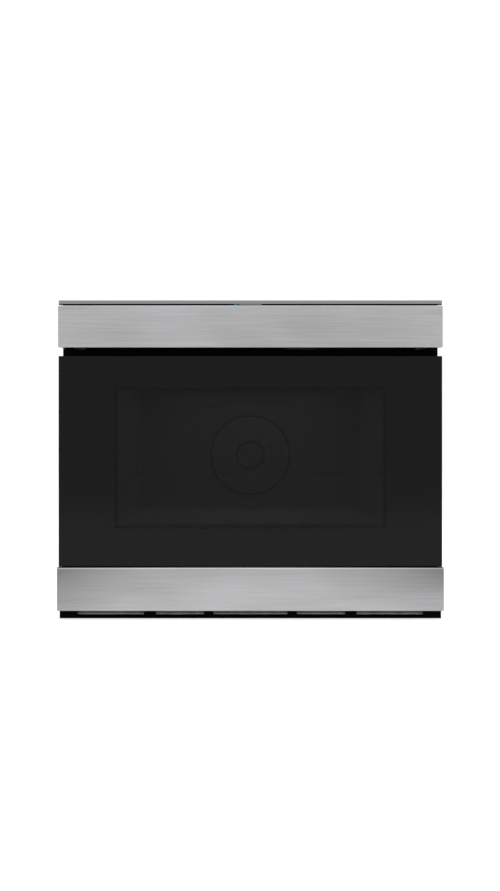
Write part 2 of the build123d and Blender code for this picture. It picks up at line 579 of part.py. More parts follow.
x_inner_web = x_slide - slide_width
half_outer = slide_height / 2
half_middle = half_outer - race
half_inner = half_middle - race
x_middle_web = x_slide - race
outer_member = along_y(channel(x_inner_web, x_slide, half_outer), slide_front, slide_rear)
middle_member = along_y(channel(x_inner_web + slide_sheet, x_middle_web, half_middle),
                        slide_front + slide_setback, slide_rear - slide_setback)
inner_member = along_y(channel(x_middle_web - race, x_inner_web, half_inner), slide_front, slide_rear)
foot_half, foot_toe, foot_front, foot_back = 20.0, 8.0, 70.0, 60.0
foot = bent([(x_inner_web - foot_toe, base_sheet), (x_slide + slide_sheet, base_sheet),
             (x_slide + slide_sheet, z_slide_top)], slide_sheet)
for foot_y in (slide_front + foot_front, slide_rear - foot_back):
    outer_member += along_y(foot, foot_y - foot_half, foot_y + foot_half)
for side, name in ((1, "right"), (-1, "left")):
    for member, part in (("outer", outer_member), ("middle", middle_member), ("inner", inner_member)):
        nodes["slide_" + member + "_" + name] = part if side > 0 else mirror(part, about=Plane.YZ)

# ---------------------------------------------------------------- rack, pinion and the motor that turns it
pitch_radius = rack_module * pinion_teeth / 2
tip_radius = pitch_radius + rack_module
root_radius = pitch_radius - 1.25 * rack_module
flank_base = pitch_radius * cos(radians(pressure_angle))
z_carriage = slide_floor + 24.0                 # underside of the channel that carries the rack
rack_back = 5.0
z_pitch = z_carriage - rack_back - 1.25 * rack_module
z_pinion = z_pitch - pitch_radius
pinion_setback, pinion_side = 58.0, 1.0
pinion_y = y_cabinet + pinion_setback
pinion_half = rack_width / 2 - pinion_side


def flank_point(radius, turn):
    """A point of the involute at this radius, turned from the middle of its tooth."""
    roll = sqrt(max((radius / flank_base) ** 2 - 1.0, 0.0))
    pitch_roll = sqrt((pitch_radius / flank_base) ** 2 - 1.0)
    half_tooth = pi / (2 * pinion_teeth) - tooth_backlash / (4 * pitch_radius)
    angle = half_tooth + (pitch_roll - atan2(pitch_roll, 1.0)) - (roll - atan2(roll, 1.0))
    return (radius * cos(turn * angle), radius * sin(turn * angle))


def tooth():
    """One pinion tooth on the X axis, from inside the root circle to the tip circle."""
    middle = (flank_base + tip_radius) / 2
    left = ThreePointArc(*[flank_point(r, 1) for r in (flank_base, middle, tip_radius)])
    right = ThreePointArc(*[flank_point(r, -1) for r in (tip_radius, middle, flank_base)])
    foot_x, foot_y = flank_point(flank_base, 1)
    inner_x = root_radius - 1.0
    tip = ThreePointArc(flank_point(tip_radius, 1), (tip_radius, 0.0), flank_point(tip_radius, -1))
    heel = Polyline((foot_x, -foot_y), (inner_x, -foot_y), (inner_x, foot_y), (foot_x, foot_y))
    return make_face(Wire([*left.edges(), *tip.edges(), *right.edges(), *heel.edges()]))


# a tooth gap of the pinion faces the rack's first tooth: a tooth points straight up here
gear = Circle(root_radius)
for place in PolarLocations(0.0, pinion_teeth, start_angle=90.0):
    gear += place * tooth()
bracket_gap, bracket_sheet, shaft_reach, shaft_end = 1.5, 1.5, 14.0, 2.0
x_bracket = pinion_half + bracket_gap
x_gearbox = x_bracket + bracket_sheet
pinion = along_x(gear, -pinion_half, pinion_half)
pinion += rod_x(-pinion_half - shaft_end, x_gearbox + shaft_reach, 0.0, 0.0, pinion_shaft_radius)
nodes["drive_pinion"] = Pos(0.0, pinion_y, z_pinion) * pinion

tooth_pitch = pi * rack_module
rack_end = 12.0                                 # solid bar past the last tooth in use
rack_front = y_cabinet + slide_setback + 1.0
rack_rear = pinion_y + travel + rack_end
flank_slope = tan(radians(pressure_angle))
half_thick = tooth_pitch / 4 - tooth_backlash / 4


def rack_tooth(y):
    """Outline (Y, Z) of one rack tooth that points down, centred on y."""
    wide = half_thick + (z_carriage - rack_back - z_pitch) * flank_slope
    slim = half_thick - rack_addendum * flank_slope
    z_root, z_tip = z_carriage - rack_back, z_pitch - rack_addendum
    z_seat = z_root + rack_back / 10
    return make_face(Polyline((y - wide, z_seat), (y - wide, z_root), (y - slim, z_tip),
                              (y + slim, z_tip), (y + wide, z_root), (y + wide, z_seat), close=True))


rack = span(rack_front, rack_rear, z_carriage - rack_back, z_carriage)
first_tooth = pinion_y - (int((pinion_y - rack_front) / tooth_pitch) - 0.5) * tooth_pitch
tooth_count = int((rack_rear - rack_end / 4 - first_tooth) / tooth_pitch) + 1
for number in range(tooth_count):
    rack += rack_tooth(first_tooth + number * tooth_pitch)
nodes["drive_rack"] = along_x(rack, -rack_width / 2, rack_width / 2)

gearbox_half, gearbox_length, gearbox_drop, gearbox_radius = 19.0, 26.0, 4.0, 5.0
bracket_foot, motor_can_length, motor_can_drop = 34.0, 58.0, 3.0
gearbox_top = z_pinion + gearbox_half
bracket = bent([(x_gearbox + bracket_foot, base_sheet), (x_bracket, base_sheet), (x_bracket, gearbox_top)],
               bracket_sheet, side=Side.RIGHT)
bracket = along_y(bracket, pinion_y - gearbox_half, pinion_y + gearbox_half)
bracket -= rod_x(x_bracket - through, x_gearbox + through, pinion_y, z_pinion,
                 pinion_shaft_radius + pin_clearance)
nodes["drive_motor_bracket"] = bracket
x_motor = x_gearbox + gearbox_length
gearbox = span(pinion_y - gearbox_half, pinion_y + gearbox_half,
               z_pinion - gearbox_half - gearbox_drop, gearbox_top, gearbox_radius)
gearbox = along_x(gearbox, x_gearbox, x_motor)
motor_can = rod_x(x_motor, x_motor + motor_can_length, pinion_y, z_pinion - motor_can_drop,
                  motor_can_radius)
gearbox += chamfer(motor_can.edges().group_by(Axis.X)[-1], motor_can_radius / 8)
gearbox -= rod_x(x_gearbox - through, x_gearbox + shaft_reach + running_gap, pinion_y, z_pinion,
                 pinion_shaft_radius + pin_clearance)
nodes["drive_motor"] = gearbox

# ---------------------------------------------------------------- carriage: ties the slides, rack and door
door_seal_gap = 2.5                             # shut door to the front frame
y_door_back = y_frame - door_seal_gap           # back plate of the door
carriage_sheet = 1.5
bar_height, bar_half, spine_half = 12.0, 12.0, 14.0
front_plate_length, rear_plate_length, rear_plate_setback, door_tab = 74.0, 62.0, 8.0, 22.0
z_bar = z_carriage + bar_height
z_plate = z_slide - half_inner + 1.0
x_plate = x_inner_web - carriage_sheet
y_rear_plate = slide_rear - rear_plate_setback
side_plate = span(y_door_back, y_door_back + front_plate_length, z_plate, z_bar)
side_plate += span(y_rear_plate - rear_plate_length, y_rear_plate, z_plate, z_bar)
carriage_side = along_x(side_plate, x_plate, x_inner_web)
carriage_side += block(x_plate - door_tab, x_inner_web, y_door_back, y_door_back + carriage_sheet,
                       z_plate, z_bar)
spine = bent([(-spine_half, z_bar), (-spine_half, z_carriage), (spine_half, z_carriage),
              (spine_half, z_bar)], carriage_sheet)
carriage = along_y(spine, y_door_back, rack_rear)
for bar_y in (y_door_back + front_plate_length - 2 * bar_half, y_rear_plate - rear_plate_length / 2):
    bar = bent([(bar_y - bar_half, z_carriage), (bar_y - bar_half, z_bar), (bar_y + bar_half, z_bar),
                (bar_y + bar_half, z_carriage)], carriage_sheet, side=Side.RIGHT)
    carriage += along_x(bar, -x_plate, x_plate)
for half in both_sides(carriage_side):
    carriage += half
nodes["carriage_frame"] = carriage

# ---------------------------------------------------------------- door
door_glass_thickness = 4.0
door_sheet = 1.0
strip_sheet = 1.2
door_side_inset = 6.0
collar_depth = 15.0
window_glass, pane_setback = 4.0, 0.5
window_inset, window_lift, window_drop = 9.0, 3.0, 19.0
window_half = half_tub - window_inset
window_floor, window_top = z_tub + window_lift, z_tub_top - window_drop
tub_flange = 8.0
choke_width, choke_sheet = 12.0, 1.5
y_glass_back = y_glass + door_glass_thickness
half_door = half_glass - door_side_inset
door_floor = z_strip + strip_sheet + running_gap
door_top = z_recess - 3.0

pan = along_y(span(-half_door, half_door, door_floor, door_top), y_glass_back, y_door_back)
pan -= along_y(span(-half_door + door_sheet, half_door - door_sheet, door_floor + door_sheet,
                    door_top - door_sheet), y_glass_back - through, y_door_back - door_sheet)
window_corner = 6.0
collar = span(-window_half - door_sheet, window_half + door_sheet, window_floor - door_sheet,
              window_top + door_sheet, window_corner + door_sheet)
window = span(-window_half, window_half, window_floor, window_top, window_corner)
pan += along_y(collar, y_door_back - collar_depth, y_door_back)
pan -= along_y(window, y_glass_back - through, y_door_back + through)
relief_inset, relief_size = 40.0, (12.0, 30.0)
relief_x = half_door - relief_inset
for sign in (-1, 1):
    relief = Pos(sign * relief_x, z_strip + strip_height / 2) * Rectangle(*relief_size)
    pan -= along_y(relief, y_door_back - 3 * door_sheet, y_door_back + through)
nodes["door_inner_frame"] = pan

screen_sheet, screen_lap = 0.6, 5.0
y_screen = y_door_back - collar_depth
screen_rim = span(-window_half - screen_lap, window_half + screen_lap, window_floor - screen_lap,
                  window_top + screen_lap, window_corner)
nodes["door_screen"] = along_y(screen_rim, y_screen - screen_sheet, y_screen)
pane = span(-window_half + running_gap, window_half - running_gap, window_floor + running_gap,
            window_top - running_gap, window_corner - running_gap)
y_pane = y_door_back - pane_setback
nodes["inner_window_glass"] = along_y(pane, y_pane - window_glass, y_pane)

glass_corner, glass_bevel = 1.5, 0.5
glass = span(-half_glass, half_glass, z_glass + running_gap, z_recess, glass_corner)
glass = along_y(glass, y_glass, y_glass_back)
nodes["door_glass"] = chamfer(glass.edges().group_by(Axis.Y)[0], glass_bevel)

y_strip_back = y_door_back - door_sheet
strip = bent([(y_glass_back, z_glass), (y_front, z_glass), (y_front, z_strip), (y_strip_back, z_strip)],
             strip_sheet)
strip = along_x(strip, -half_front, half_front)
strip_end = span(y_front, y_strip_back, z_strip, z_glass, bend_radius)
strip += along_x(strip_end, half_front - strip_sheet, half_front)
strip += along_x(strip_end, -half_front, -half_front + strip_sheet)
nodes["door_bottom_trim"] = strip

flange_half = half_tub + tub_flange
flange_floor, flange_top = z_tub - tub_flange, z_tub_top + tub_flange
choke_inner = span(-flange_half - running_gap, flange_half + running_gap, flange_floor - running_gap,
                   flange_top + running_gap)
choke_outer = span(-flange_half - choke_width, flange_half + choke_width, z_tub - tub_flange - choke_width,
                   flange_top + choke_width, choke_width / 2)
nodes["door_choke_cover"] = along_y(choke_outer - choke_inner, y_door_back, y_door_back + choke_sheet)

hook_reach, hook_sheet, hook_half, notch_width, notch_back = 34.0, 3.0, 9.0, 9.0, 16.0
hook_base, hook_base_sheet = (13.0, 34.0), 1.5
y_notch = y_door_back + notch_back
hook = span(y_door_back, y_door_back + hook_reach, hook_z - hook_half, hook_z + hook_half, hook_sheet / 2)
hook -= span(y_notch, y_notch + notch_width, hook_z + hook_half / 2, hook_z + 2 * hook_half)
hook = along_x(hook, hook_x - hook_sheet / 2, hook_x + hook_sheet / 2)
base_outline = Pos(hook_x + hook_sheet / 2, hook_z) * Rectangle(*hook_base)
hook += along_y(base_outline, y_door_back, y_door_back + hook_base_sheet)
nodes["latch_hooks"] = group(both_sides(hook))

door_screw_margin, door_head = 12.0, 1.6
door_screw_x = half_door - door_screw_margin
hex_head = RegularPolygon(screw_head_radius, 6)
door_screws = [along_y(Pos(x, level) * hex_head, y_door_back, y_door_back + door_head)
               for x in (-door_screw_x, door_screw_x)
               for level in (z_strip + door_screw_margin, hook_z, door_top - door_screw_margin)]
nodes["door_screws"] = group(door_screws)

# ---------------------------------------------------------------- tub
tub_corner, tub_lip = 16.0, 5.0
tub_back = y_tub_rear - tub_sheet
tub_front = y_door_back + tub_sheet
tub = bent([(-half_tub, z_tub_top), (-half_tub, z_tub), (half_tub, z_tub), (half_tub, z_tub_top)],
           tub_sheet, radius=tub_corner)
tub = along_y(tub, y_door_back, y_tub_rear)
wall = span(-half_tub, half_tub, z_tub, z_tub_top + tub_corner, tub_corner)
wall -= span(-flange_half, flange_half, z_tub_top, z_tub_top + 2 * tub_corner)
tub += along_y(wall, tub_back, y_tub_rear)
rim = span(-flange_half, flange_half, flange_floor, flange_top, tub_flange / 2)
rim -= span(-half_tub + tub_sheet, half_tub - tub_sheet, z_tub + tub_sheet, z_tub_top - tub_flange,
            tub_corner - tub_sheet)
tub += along_y(rim, y_door_back, tub_front)
side_lip = block(half_tub, half_tub + tub_lip, y_door_back, y_tub_rear, z_tub_top - tub_sheet, z_tub_top)
for lip in both_sides(side_lip):
    tub += lip
tub += block(-half_tub, half_tub, y_tub_rear, y_tub_rear + tub_lip, z_tub_top - tub_sheet, z_tub_top)
tub -= rod_y(0.0, tub_back - through, y_tub_rear + through, z_fan, fan_inlet)
# pressed bead across the back wall, and two raised buttons on each side wall
bead_margin, bead_rise, bead_radius, bead_drop = 52.0, 50.0, 3.0, 20.0
bead_half = half_tub - bead_margin
bead_apex = z_tub_top - bead_drop
bead_line = ThreePointArc((-bead_half, tub_back, bead_apex - bead_rise), (0, tub_back, bead_apex),
                          (bead_half, tub_back, bead_apex - bead_rise))
bead_plane = Plane(origin=bead_line @ 0, z_dir=bead_line % 0)
bead = sweep(bead_plane * RegularPolygon(bead_radius, 8), path=bead_line)
tub += bead & block(-half_tub, half_tub, tub_back - 2 * bead_radius, y_tub_rear, z_tub, z_tub_top)
stud_inset, stud_rise, stud_radius = (67.0, 20.0), 84.0, 5.0
for y in (y_door_back + stud_inset[0], tub_back - stud_inset[1]):
    stud = rod_x(half_tub - stud_radius, half_tub, y, z_tub + stud_rise, stud_radius)
    for button in both_sides(chamfer(stud.edges().group_by(Axis.X)[0], stud_radius / 2)):
        tub += button
nodes["drawer_tub"] = tub

plate_gap = 5.0
plate_half = half_tub - tub_corner
plate = along_z(span(-plate_half, plate_half, tub_front + plate_gap, tub_back - plate_gap, 2 * plate_gap),
                z_tub + tub_sheet, z_tub + tub_sheet + floor_plate_thickness)
nodes["floor_plate"] = chamfer(plate.edges().group_by(Axis.Z)[-1], floor_plate_thickness / 6)

# round cover with its air holes, on the back wall of the tub
cover_rise, cover_sheet, cover_rim, eye_radius, eye_width, air_hole = 6.0, 1.0, 4.0, 28.7, 2.0, 3.6
fan_cover = cylinder_shell(fan_cover_radius - cover_rim - cover_sheet, cover_rise, cover_rim + cover_sheet,
                           air_hole, cover_sheet)
for ring_radius, holes in ((60.0, 10), (42.0, 6)):
    for place in PolarLocations(ring_radius, holes):
        fan_cover -= along_z(place * RegularPolygon(air_hole, 6), 0.0, 2 * cover_rise)
eye = Circle(eye_radius) - Circle(eye_radius - eye_width)
fan_cover += along_z(eye, cover_rise + cover_sheet, cover_rise + 2 * cover_sheet)
nodes["fan_cover"] = Pos(0.0, tub_back, z_fan) * Rot(90, 0, 0) * fan_cover

# ---------------------------------------------------------------- interlock switches
y_plunger = y_door_back + hook_reach + running_gap
plunger_radius, plunger_length, plunger_stroke, plunger_lead = 2.0, 14.0, 2.0, 1.5
switch_half, switch_length, interlock_sheet, interlock_foot = 6.0, 26.0, 1.2, 14.0
switch_rise, contact_rise, contact_size = 10.0, 6.0, (3.2, 0.8)
y_switch = y_plunger + plunger_stroke + plunger_lead
y_switch_back = y_switch + switch_length
plate_x = hook_x + switch_half
interlock = bent([(plate_x + interlock_foot, y_cabinet), (plate_x, y_cabinet), (plate_x, y_switch_back)],
                 interlock_sheet, side=Side.RIGHT)
interlock = along_z(interlock, hook_z - 1.5 * switch_rise, hook_z + 1.5 * switch_rise)
nodes["interlock_bracket"] = group(both_sides(interlock))
switch = block(hook_x - switch_half, plate_x, y_switch, y_switch_back, hook_z - switch_rise,
               hook_z + switch_rise)
for level in (-contact_rise, contact_rise):
    contact = Pos(hook_x, hook_z + level) * Rectangle(*contact_size)
    switch += along_y(contact, y_switch_back, y_switch_back + contact_rise)
bore_end = y_plunger + plunger_length + plunger_stroke + running_gap
switch -= rod_y(hook_x, y_switch - through, bore_end, hook_z, plunger_radius + pin_clearance)
nodes["interlock_switches"] = group(both_sides(switch))
plunger = rod_y(hook_x, y_plunger, y_plunger + plunger_length, hook_z, plunger_radius)
plunger = chamfer(plunger.edges().group_by(Axis.Y)[0], plunger_radius / 4)
nodes["switch_plunger_right"] = plunger
nodes["switch_plunger_left"] = mirror(plunger, about=Plane.YZ)

# ---------------------------------------------------------------- fold-out control panel
fascia_return, fascia_lower_return, fascia_end = 8.0, 5.0, 10.0
housing_wall = 2.5
board_thickness = 1.6
fascia = along_x(bent([(y_fascia + fascia_lower_return, z_fascia), (y_fascia, z_fascia),
                       (y_fascia, z_fascia_top), (y_fascia + fascia_return, z_fascia_top)],
                      fascia_sheet, side=Side.RIGHT), -half_fascia, half_fascia)
fascia_cap = span(y_fascia, y_fascia + fascia_end, z_fascia, z_fascia_top, bend_radius)
fascia += along_x(fascia_cap, half_fascia - fascia_sheet, half_fascia)
fascia += along_x(fascia_cap, -half_fascia, -half_fascia + fascia_sheet)
fascia_corner = 2.5
fascia_face = span(-half_fascia, half_fascia, z_fascia, z_fascia_top, fascia_corner)
nodes["panel_fascia"] = fascia & along_y(fascia_face, y_fascia, y_fascia + fascia_end)

# the touch glass lies on a slope; its ends and the housing's back stay inside the panel's sweep
lean = radians(panel_slope)
slope_up = (sin(lean), cos(lean))                       # (Y, Z) away from the slope
slope_along = (cos(lean), -sin(lean))                   # (Y, Z) down it, towards the back
glass_start = y_fascia + fascia_return + 2 * running_gap - y_pivot
glass_level = z_fascia_top - fascia_sheet - running_gap - z_pivot
seat_height = glass_start * slope_up[0] + glass_level * slope_up[1] - panel_glass_thickness


def slope_point(height, along):
    """(Y, Z) of a point at a height over the pivot, square to the slope, and a way along it."""
    return (y_pivot + height * slope_up[0] + along * slope_along[0],
            z_pivot + height * slope_up[1] + along * slope_along[1])


seat_end = sqrt(panel_sweep ** 2 - seat_height ** 2)
glass_end = sqrt(panel_sweep ** 2 - (seat_height + panel_glass_thickness) ** 2)
glass_begin = (glass_start - (seat_height + panel_glass_thickness) * slope_up[0]) / slope_along[0]
housing_front = y_fascia + fascia_sheet
front_along = (housing_front - y_pivot - seat_height * slope_up[0]) / slope_along[0]
back_top = slope_point(seat_height, seat_end)
back_angle = atan2(back_top[1] - z_pivot, back_top[0] - y_pivot)
arc_middle = (y_pivot + panel_sweep * cos(back_angle / 2), z_pivot + panel_sweep * sin(back_angle / 2))
back_foot = (y_pivot + panel_sweep, z_pivot)
front_top = slope_point(seat_height, front_along)
section_line = Polyline(back_foot, (housing_front, z_pivot), front_top, back_top)
back_arc = ThreePointArc(back_top, arc_middle, back_foot)
housing_section = make_face(Wire([*section_line.edges(), back_arc.edge()]))
housing_room = offset(housing_section, amount=-housing_wall)
housing = along_x(housing_section, -half_panel, half_panel)
housing -= along_x(housing_room, -half_panel + housing_wall, half_panel - housing_wall)
boss_length, pin_depth = 12.0, 10.0
for boss in both_sides(rod_x(half_panel - boss_length, half_panel, y_pivot, z_pivot, hinge_boss_radius)):
    housing += boss
pin_bore = rod_x(half_panel - pin_depth - running_gap, half_panel + through, y_pivot, z_pivot,
                 hinge_pin_radius + pin_clearance)
for bore in both_sides(pin_bore):
    housing -= bore
bumper_radius, bumper_height, bumper_reach, bumper_root, bumper_web = 1.8, 2.2, 3.0, 5.0, 1.2
bumper_x, bumper_y = half_panel + bumper_reach, y_fascia + 2 * bumper_radius
bumper = rod_z(bumper_x, bumper_y, z_fascia - bumper_height, z_fascia, bumper_radius)
bumper = chamfer(bumper.edges().group_by(Axis.Z)[0], bumper_height / 3)
bumper += block(half_panel - bumper_root, bumper_x, bumper_y - bumper_radius, bumper_y + bumper_radius,
                z_fascia - bumper_web, z_fascia)
bumper += block(half_panel - bumper_root, half_panel, bumper_y, y_pivot - hinge_pin_radius - bumper_web,
                z_fascia - bumper_web, z_fascia)
for foot in both_sides(bumper):
    housing += foot
nodes["panel_housing"] = housing


def on_slope(height, begin, end, half_width, thickness, radius):
    """A plate lying along the slope, its underside at a height over the pivot."""
    y, z = slope_point(height, (begin + end) / 2)
    plane = Plane(origin=(0.0, y, z), x_dir=(1, 0, 0), z_dir=(0, slope_up[0], slope_up[1]))
    return extrude(plane * RectangleRounded(2 * half_width, end - begin, radius), amount=thickness)


nodes["touch_glass"] = on_slope(seat_height, glass_begin, glass_end, half_panel - fascia_sheet,
                                panel_glass_thickness, bend_radius)
board_inset, display_half, display_depth, display_inset = 12.0, 45.0, 4.0, 10.0
board_height = seat_height - housing_wall - board_thickness
board_end = glass_end - housing_wall - board_inset / 2
display = on_slope(board_height, glass_begin + board_inset / 2, board_end, half_panel - board_inset,
                   board_thickness, board_thickness)
display += on_slope(board_height - display_depth, glass_begin + display_inset, board_end - display_inset,
                    display_half, display_depth, board_thickness)
nodes["panel_display_board"] = display

# hinge bracket: a bent plate whose free end is round about the pivot
hinge_sheet, hinge_foot = 2.0, 14.0
x_hinge = half_panel + panel_gap
x_hinge_out = x_hinge + hinge_sheet
pin = rod_x(half_panel - pin_depth, x_hinge_out + hinge_sheet, y_pivot, z_pivot, hinge_pin_radius)
nodes["panel_hinge_pins"] = group(both_sides(pin))
hinge = along_x(span(y_pivot, y_frame, z_pivot - hinge_boss_radius, z_pivot + hinge_boss_radius),
                x_hinge, x_hinge_out)
hinge += rod_x(x_hinge, x_hinge_out, y_pivot, z_pivot, hinge_boss_radius)
hinge += block(x_hinge, x_hinge + hinge_foot, y_frame - hinge_sheet, y_frame, z_pivot - hinge_boss_radius,
               z_pivot + hinge_boss_radius)
hinge -= rod_x(x_hinge - through, x_hinge_out + through, y_pivot, z_pivot, hinge_pin_radius + pin_clearance)
nodes["panel_hinge_brackets"] = group(both_sides(hinge))

# ---------------------------------------------------------------- screws of the back panel
back_screw_margin = 10.0
back_screw_x = half_case - back_screw_margin
back_screws = [along_y(Pos(x, z) * hex_head, y_back, y_back + screw_head_height)
               for x in (-back_screw_x, back_screw_x)
               for z in (back_screw_margin, z_case_top - back_screw_margin)]
nodes["case_screws"] = group(back_screws)

os.makedirs("parts", exist_ok=True)
for name, solid in nodes.items():
    export_step(solid, "parts/" + name + ".step")
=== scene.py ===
import bpy
from math import cos, radians, sin
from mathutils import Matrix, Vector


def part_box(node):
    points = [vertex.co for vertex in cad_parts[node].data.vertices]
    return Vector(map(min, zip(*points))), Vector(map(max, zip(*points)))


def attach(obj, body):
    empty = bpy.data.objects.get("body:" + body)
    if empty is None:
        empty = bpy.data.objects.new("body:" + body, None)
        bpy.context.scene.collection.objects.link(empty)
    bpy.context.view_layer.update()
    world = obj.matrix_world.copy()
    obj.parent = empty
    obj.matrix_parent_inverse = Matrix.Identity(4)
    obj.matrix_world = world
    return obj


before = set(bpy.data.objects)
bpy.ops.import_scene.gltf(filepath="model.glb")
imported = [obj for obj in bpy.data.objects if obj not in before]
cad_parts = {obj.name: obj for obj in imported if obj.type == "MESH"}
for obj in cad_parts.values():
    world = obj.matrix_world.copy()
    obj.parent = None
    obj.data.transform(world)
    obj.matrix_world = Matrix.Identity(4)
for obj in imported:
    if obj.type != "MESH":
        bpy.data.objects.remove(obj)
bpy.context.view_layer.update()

# ---------------------------------------------------------------- camera
# The photograph is taken square to the front and level, from about 1.4 m in front of it, with
# the lens at about the height of the middle of the door.
camera_data = bpy.data.cameras.new("camera")
camera_data.lens = 36.1
camera_data.sensor_width = 36.0
camera = bpy.data.objects.new("camera", camera_data)
camera.location = (-0.0006, -1.697, 0.2739)
camera.rotation_euler = (radians(90.0), 0.0, 0.0)
bpy.context.scene.collection.objects.link(camera)
bpy.context.scene.camera = camera
bpy.context.scene.view_settings.view_transform = 'Standard'

# ---------------------------------------------------------------- sheet case
# The base plate, outer wrapper and back panel are folded from hot-dip galvanised sheet, 0.8 to
# 1.2 mm thick, and left unpainted because the cabinet hides them. The zinc sets in flat crystals
# about 12 mm across, which show as patches of slightly different tone and gloss.
grain, cells = "ShaderNodeTexNoise", "ShaderNodeTexVoronoi"


def linear(hex_colour):
    """An sRGB hex colour as the linear values that a shader takes."""
    parts = [int(hex_colour[place:place + 2], 16) / 255 for place in (0, 2, 4)]
    parts = [part / 12.92 if part <= 0.04045 else ((part + 0.055) / 1.055) ** 2.4
             for part in parts]
    return (*parts, 1.0)


def new_finish(name, colour, values):
    """A material of this colour, with values for the other sockets of its one shader."""
    material = bpy.data.materials.new(name)
    material.use_nodes = True
    shader = material.node_tree.nodes["Principled BSDF"]
    shader.inputs["Base Color"].default_value = linear(colour)
    for socket, value in values.items():
        shader.inputs[socket].default_value = value
    return material


def add(material, kind, settings, links):
    """Adds a node: settings are its properties and socket values, links feed its inputs."""
    node = material.node_tree.nodes.new(kind)
    for name, value in settings.items():
        if isinstance(name, int) or name in node.inputs:
            node.inputs[name].default_value = value
        else:
            setattr(node, name, value)
    for name, source in links.items():
        material.node_tree.links.new(source, node.inputs[name])
    return node


def feed(material, source, socket, shader="Principled BSDF"):
    """Feeds a node's output to a socket of the material's shader."""
    material.node_tree.links.new(source, material.node_tree.nodes[shader].inputs[socket])


def pattern(material, kind, spacing, settings):
    """A pattern's values. Its marks have this real spacing in millimetres along x, y and z."""
    place = add(material, "ShaderNodeTexCoord", {}, {})
    scale = [1000.0 / step for step in spacing]
    spaced = add(material, "ShaderNodeMapping", {"Scale": scale},
                 {"Vector": place.outputs["Object"]})
    marks = add(material, kind, {"Scale": 1.0, **settings}, {"Vector": spaced.outputs["Vector"]})
    return marks.outputs["Color" if kind == cells else "Fac"]


def lay(material, level, tones=None, rough=None, relief=None):
    """Lays a pattern's values on a finish: as tones, pairs of a level and its colour, as rough,
    the roughness at levels 0.3 and 0.7, or as relief, its depth in millimetres."""
    if tones:
        ramp = add(material, "ShaderNodeValToRGB", {}, {"Fac": level})
        stops = ramp.color_ramp.elements
        for stop, (place, colour) in ((stops[0], tones[0]), (stops[1], tones[-1])):
            stop.position = place
            stop.color = linear(colour)
        for place, colour in tones[1:-1]:
            stops.new(place).color = linear(colour)
        feed(material, ramp.outputs["Color"], "Base Color")
    if rough:
        spread = add(material, "ShaderNodeMapRange",
                     {"From Min": 0.3, "From Max": 0.7, "To Min": rough[0], "To Max": rough[1]},
                     {"Value": level})
        feed(material, spread.outputs["Result"], "Roughness")
    if relief:
        bump = add(material, "ShaderNodeBump", {"Strength": 1.0, "Distance": relief / 1000.0},
                   {"Height": level})
        feed(material, bump.outputs["Normal"], "Normal")


def dress(material, *names):
    """Gives CAD nodes this material."""
    for name in names:
        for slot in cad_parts[name].material_slots:
            slot.material = material


galvanised = new_finish("galvanised_steel", "a9acae", {"Roughness": 0.42, "Metallic": 1.0})
lay(galvanised, pattern(galvanised, cells, (12.0, 12.0, 12.0), {}),
    tones=((0.1, "9a9ea1"), (0.9, "b4b7b9")), rough=(0.36, 0.5))
dress(galvanised, "base_plate", "outer_wrapper", "back_panel")

# ---------------------------------------------------------------- screws
# Hexagon-head screws of zinc-plated steel hold the back panel and the door's inner frame. Marks
# about 1.5 mm apart, left by their forming, make the gloss of the plating slightly uneven.
plated = new_finish("zinc_plated_screw_steel", "b5b6b8", {"Roughness": 0.28, "Metallic": 1.0})
lay(plated, pattern(plated, grain, (1.5, 1.5, 1.5), {"Detail": 2.0}), rough=(0.22, 0.36))
dress(plated, "case_screws", "door_screws")

# ---------------------------------------------------------------- cord gland and cooling fan
# The gland is a bush of moulded black nylon, set in the back panel where the supply cord would
# pass through. The fan's wheel and housing are moulded from the same nylon. The mould's etched
# grain, about 0.9 mm apart, leaves them matt.
moulded_black = new_finish("moulded_black_nylon", "17171a", {"Roughness": 0.48, "IOR": 1.53})
lay(moulded_black, pattern(moulded_black, grain, (0.9, 0.9, 0.9), {"Detail": 3.0}), relief=0.03)
dress(moulded_black, "cord_gland", "cooling_fan_housing", "cooling_fan_wheel")

# ---------------------------------------------------------------- front frame
# The front frame, the hinge brackets and the door's inner frame are folded steel with a black
# powder coat. The powder melts into a fine orange peel about 1 mm apart, and the coat reflects
# very little.
powder_black = new_finish("black_powder_coat", "020203",
                          {"Roughness": 0.5, "IOR": 1.52, "Specular IOR Level": 0.02})
lay(powder_black, pattern(powder_black, grain, (1.1, 1.1, 1.1), {"Detail": 2.0}), relief=0.015)
dress(powder_black, "front_frame", "panel_hinge_brackets", "door_inner_frame")

# ---------------------------------------------------------------- vent grille and choke cover
# The vent grille under the door and the cover over the door's choke are moulded in polypropylene
# that is dyed black through, with a matt grain about 0.9 mm apart.
matt_black = new_finish("dyed_black_polypropylene", "010101",
                        {"Roughness": 0.6, "IOR": 1.49, "Specular IOR Level": 0.03})
lay(matt_black, pattern(matt_black, grain, (0.9, 0.9, 0.9), {"Detail": 3.0}), relief=0.02)
dress(matt_black, "vent_grille", "door_choke_cover")

